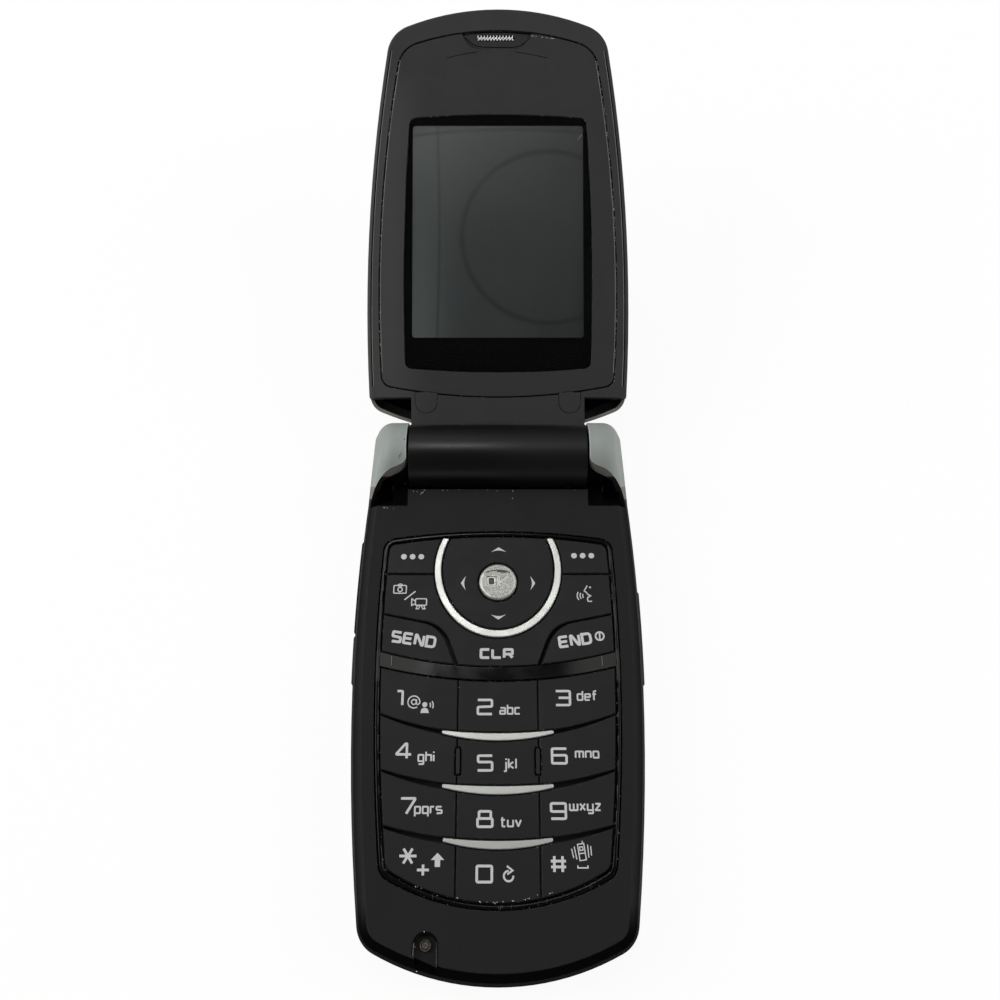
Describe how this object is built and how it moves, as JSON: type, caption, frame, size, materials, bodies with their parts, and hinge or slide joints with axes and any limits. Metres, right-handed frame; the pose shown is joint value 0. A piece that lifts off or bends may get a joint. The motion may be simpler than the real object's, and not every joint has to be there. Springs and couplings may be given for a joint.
{
  "type": "flip phone",
  "caption": "Clamshell folding phone lying open: black moulded base with pressing keys and a rocking navigation ring, silver hinge caps, and a hinged lid holding a framed colour screen.",
  "frame": {"origin": "on the flat back of the base, straight below the hinge axis, on the middle plane", "axes": "+X to the right of the keypad, +Y from the keypad's foot towards the lid, +Z out of the keypad"},
  "size_m": [0.0504, 0.1678, 0.0387],
  "materials": {
    "rear_case": "fine satin black moulding",
    "front_case": "fine satin black moulding",
    "hinge_caps": "satin silver paint over plastic",
    "keypad_frame": "polished black",
    "key_carrier": "moulded rubber",
    "dome_sheet": "film with snap domes",
    "main_board": "laminated board",
    "shield_can": "tinned steel",
    "battery": "wrapped cell",
    "battery_contacts": "gold plated",
    "loudspeaker": "moulded",
    "vibration_motor": "turned",
    "microphone": "moulded",
    "io_connector": "stamped",
    "headset_jack": "moulded",
    "antenna": "moulded",
    "case_screws": "turned",
    "row_strips": "vacuum plated silver",
    "nav_arc_trim": "vacuum plated silver",
    "hinge_shaft": "turned",
    "pivot_bush": "turned",
    "lid_inner_case": "fine satin black moulding",
    "lid_outer_cover": "satin black",
    "bezel_panel": "soft black",
    "main_lens": "clear window",
    "main_display": "unlit panel",
    "outer_window": "smoked window",
    "outer_display": "unlit panel",
    "camera_module": "moulded with a glass eye",
    "earpiece": "turned",
    "earpiece_mesh": "woven wire",
    "lid_screw_covers": "soft black",
    "lid_screws": "turned",
    "flex_cable": "printed circuit film",
    "hinge_module": "turned",
    "battery_cover": "fine satin black moulding",
    "volume_rocker": "moulded",
    "headset_cover": "soft moulded flap",
    "port_cover": "soft moulded flap",
    "vibration_weight": "sintered heavy metal",
    "nav_pad": "moulded",
    "nav_ring": "satin black key",
    "key_soft_left": "satin black key",
    "key_soft_right": "satin black key",
    "key_function": "satin black key",
    "key_send": "satin black key",
    "key_end": "satin black key",
    "key_one": "satin black key",
    "key_two": "satin black key",
    "key_three": "satin black key",
    "key_four": "satin black key",
    "key_five": "satin black key",
    "key_six": "satin black key",
    "key_seven": "satin black key",
    "key_eight": "satin black key",
    "key_nine": "satin black key",
    "key_star": "satin black key",
    "key_zero": "satin black key",
    "key_hash": "satin black key",
    "key_ok": "brushed silver key"
  },
  "bodies": {
    "base": {"rear_case": "rear_case", "front_case": "front_case", "hinge_caps": "hinge_caps", "keypad_frame": "keypad_frame", "key_carrier": "key_carrier", "dome_sheet": "dome_sheet", "main_board": "main_board", "shield_can": "shield_can", "battery": "battery", "battery_contacts": "battery_contacts", "loudspeaker": "loudspeaker", "vibration_motor": "vibration_motor", "microphone": "microphone", "io_connector": "io_connector", "headset_jack": "headset_jack", "antenna": "antenna", "case_screws": "case_screws", "row_strips": "row_strips", "nav_arc_trim": "nav_arc_trim", "hinge_shaft": "hinge_shaft", "pivot_bush": "pivot_bush"},
    "lid": {"lid_inner_case": "lid_inner_case", "lid_outer_cover": "lid_outer_cover", "bezel_panel": "bezel_panel", "main_lens": "main_lens", "main_display": "main_display", "outer_window": "outer_window", "outer_display": "outer_display", "camera_module": "camera_module", "earpiece": "earpiece", "earpiece_mesh": "earpiece_mesh", "lid_screw_covers": "lid_screw_covers", "lid_screws": "lid_screws", "flex_cable": "flex_cable", "hinge_module": "hinge_module"},
    "battery_cover_body": {"battery_cover": "battery_cover"},
    "volume_rocker_body": {"volume_rocker": "volume_rocker"},
    "headset_cover_body": {"headset_cover": "headset_cover"},
    "port_cover_body": {"port_cover": "port_cover"},
    "vibration_weight_body": {"vibration_weight": "vibration_weight"},
    "nav_pad_body": {"nav_pad": "nav_pad"},
    "nav_ring_body": {"nav_ring": "nav_ring"},
    "key_soft_left_body": {"key_soft_left": "key_soft_left"},
    "key_soft_right_body": {"key_soft_right": "key_soft_right"},
    "key_function_body": {"key_function": "key_function"},
    "key_send_body": {"key_send": "key_send"},
    "key_end_body": {"key_end": "key_end"},
    "key_one_body": {"key_one": "key_one"},
    "key_two_body": {"key_two": "key_two"},
    "key_three_body": {"key_three": "key_three"},
    "key_four_body": {"key_four": "key_four"},
    "key_five_body": {"key_five": "key_five"},
    "key_six_body": {"key_six": "key_six"},
    "key_seven_body": {"key_seven": "key_seven"},
    "key_eight_body": {"key_eight": "key_eight"},
    "key_nine_body": {"key_nine": "key_nine"},
    "key_star_body": {"key_star": "key_star"},
    "key_zero_body": {"key_zero": "key_zero"},
    "key_hash_body": {"key_hash": "key_hash"},
    "key_ok_body": {"key_ok": "key_ok"}
  },
  "joints": [
    {"name": "lid_hinge", "type": "hinge", "parent": "base", "child": "lid", "pos_m": [0, 0, 0.01025], "axis": [1, 0, 0], "range_deg": [0, 160]},
    {"name": "battery_cover_slide", "type": "slide", "parent": "base", "child": "battery_cover_body", "axis": [0, -1, 0], "range_m": [0, 0.004]},
    {"name": "key_soft_left_slide", "type": "slide", "parent": "base", "child": "key_soft_left_body", "axis": [0, 0, -1], "range_m": [0, 0.0004], "stiffness_N_per_m": 500},
    {"name": "key_soft_right_slide", "type": "slide", "parent": "base", "child": "key_soft_right_body", "axis": [0, 0, -1], "range_m": [0, 0.0004], "stiffness_N_per_m": 500},
    {"name": "key_function_slide", "type": "slide", "parent": "base", "child": "key_function_body", "axis": [0, 0, -1], "range_m": [0, 0.0004], "stiffness_N_per_m": 500},
    {"name": "key_send_slide", "type": "slide", "parent": "base", "child": "key_send_body", "axis": [0, 0, -1], "range_m": [0, 0.0004], "stiffness_N_per_m": 500},
    {"name": "key_end_slide", "type": "slide", "parent": "base", "child": "key_end_body", "axis": [0, 0, -1], "range_m": [0, 0.0004], "stiffness_N_per_m": 500},
    {"name": "key_one_slide", "type": "slide", "parent": "base", "child": "key_one_body", "axis": [0, 0, -1], "range_m": [0, 0.0004], "stiffness_N_per_m": 500},
    {"name": "key_two_slide", "type": "slide", "parent": "base", "child": "key_two_body", "axis": [0, 0, -1], "range_m": [0, 0.0004], "stiffness_N_per_m": 500},
    {"name": "key_three_slide", "type": "slide", "parent": "base", "child": "key_three_body", "axis": [0, 0, -1], "range_m": [0, 0.0004], "stiffness_N_per_m": 500},
    {"name": "key_four_slide", "type": "slide", "parent": "base", "child": "key_four_body", "axis": [0, 0, -1], "range_m": [0, 0.0004], "stiffness_N_per_m": 500},
    {"name": "key_five_slide", "type": "slide", "parent": "base", "child": "key_five_body", "axis": [0, 0, -1], "range_m": [0, 0.0004], "stiffness_N_per_m": 500},
    {"name": "key_six_slide", "type": "slide", "parent": "base", "child": "key_six_body", "axis": [0, 0, -1], "range_m": [0, 0.0004], "stiffness_N_per_m": 500},
    {"name": "key_seven_slide", "type": "slide", "parent": "base", "child": "key_seven_body", "axis": [0, 0, -1], "range_m": [0, 0.0004], "stiffness_N_per_m": 500},
    {"name": "key_eight_slide", "type": "slide", "parent": "base", "child": "key_eight_body", "axis": [0, 0, -1], "range_m": [0, 0.0004], "stiffness_N_per_m": 500},
    {"name": "key_nine_slide", "type": "slide", "parent": "base", "child": "key_nine_body", "axis": [0, 0, -1], "range_m": [0, 0.0004], "stiffness_N_per_m": 500},
    {"name": "key_star_slide", "type": "slide", "parent": "base", "child": "key_star_body", "axis": [0, 0, -1], "range_m": [0, 0.0004], "stiffness_N_per_m": 500},
    {"name": "key_zero_slide", "type": "slide", "parent": "base", "child": "key_zero_body", "axis": [0, 0, -1], "range_m": [0, 0.0004], "stiffness_N_per_m": 500},
    {"name": "key_hash_slide", "type": "slide", "parent": "base", "child": "key_hash_body", "axis": [0, 0, -1], "range_m": [0, 0.0004], "stiffness_N_per_m": 500},
    {"name": "key_ok_slide", "type": "slide", "parent": "base", "child": "key_ok_body", "axis": [0, 0, -1], "range_m": [0, 0.0003], "stiffness_N_per_m": 500},
    {"name": "nav_pad_hinge", "type": "hinge", "parent": "base", "child": "nav_pad_body", "pos_m": [0, -0.02384, 0.0082], "axis": [0, 1, 0], "range_deg": [-1.8, 1.8], "stiffness_Nm_per_rad": 0.3},
    {"name": "nav_ring_hinge", "type": "hinge", "parent": "nav_pad_body", "child": "nav_ring_body", "pos_m": [0, -0.02384, 0.00872], "axis": [1, 0, 0], "range_deg": [-1.8, 1.8], "stiffness_Nm_per_rad": 0.3},
    {"name": "volume_rocker_hinge", "type": "hinge", "parent": "base", "child": "volume_rocker_body", "pos_m": [-0.0239, -0.0234, 0.0045], "axis": [0, 0, 1], "range_deg": [-1.2, 1.2], "stiffness_Nm_per_rad": 0.3},
    {"name": "headset_cover_hinge", "type": "hinge", "parent": "base", "child": "headset_cover_body", "pos_m": [-0.02511, -0.0323, 0.0045], "axis": [0, 0, -1], "range_deg": [0, 100]},
    {"name": "port_cover_hinge", "type": "hinge", "parent": "base", "child": "port_cover_body", "pos_m": [0.02486, -0.0243, 0.0045], "axis": [0, 0, 1], "range_deg": [0, 100]},
    {"name": "vibration_weight_hinge", "type": "hinge", "parent": "base", "child": "vibration_weight_body", "pos_m": [0.0155, -0.0162, 0.0033], "axis": [1, 0, 0], "continuous": true}
  ]
}
